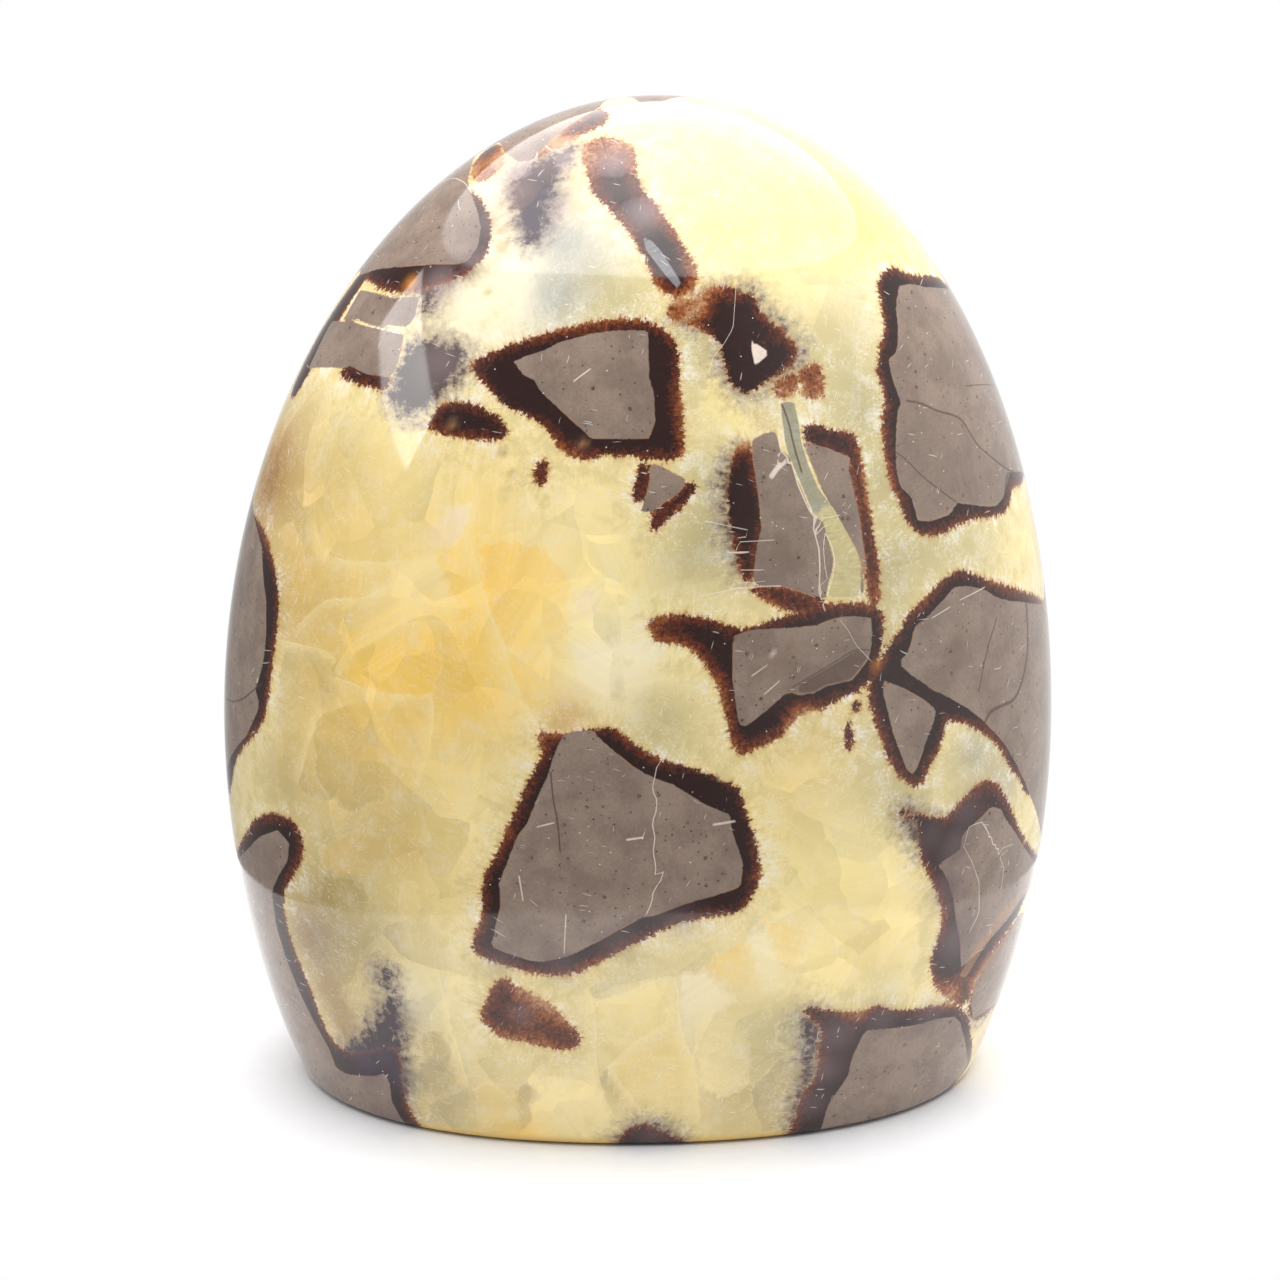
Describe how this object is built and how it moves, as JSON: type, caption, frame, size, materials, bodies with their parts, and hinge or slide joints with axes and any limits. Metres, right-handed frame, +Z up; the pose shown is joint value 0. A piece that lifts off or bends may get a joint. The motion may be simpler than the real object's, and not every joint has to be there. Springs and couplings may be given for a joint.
{
  "type": "septarian nodule",
  "caption": "Polished egg-shaped septarian stone with a flat cut base that it stands on: grey fragments with dark brown rims in golden calcite.",
  "frame": {"origin": "middle of the flat base, on the surface that the stone stands on", "axes": "+Z up along the stone's height, +X to the right across its width, -Y out of the main face"},
  "size_m": [0.0948, 0.066, 0.1131],
  "materials": {
    "septarian_stone": "polished"
  },
  "bodies": {
    "root": {"stone": "septarian_stone"}
  },
  "joints": []
}
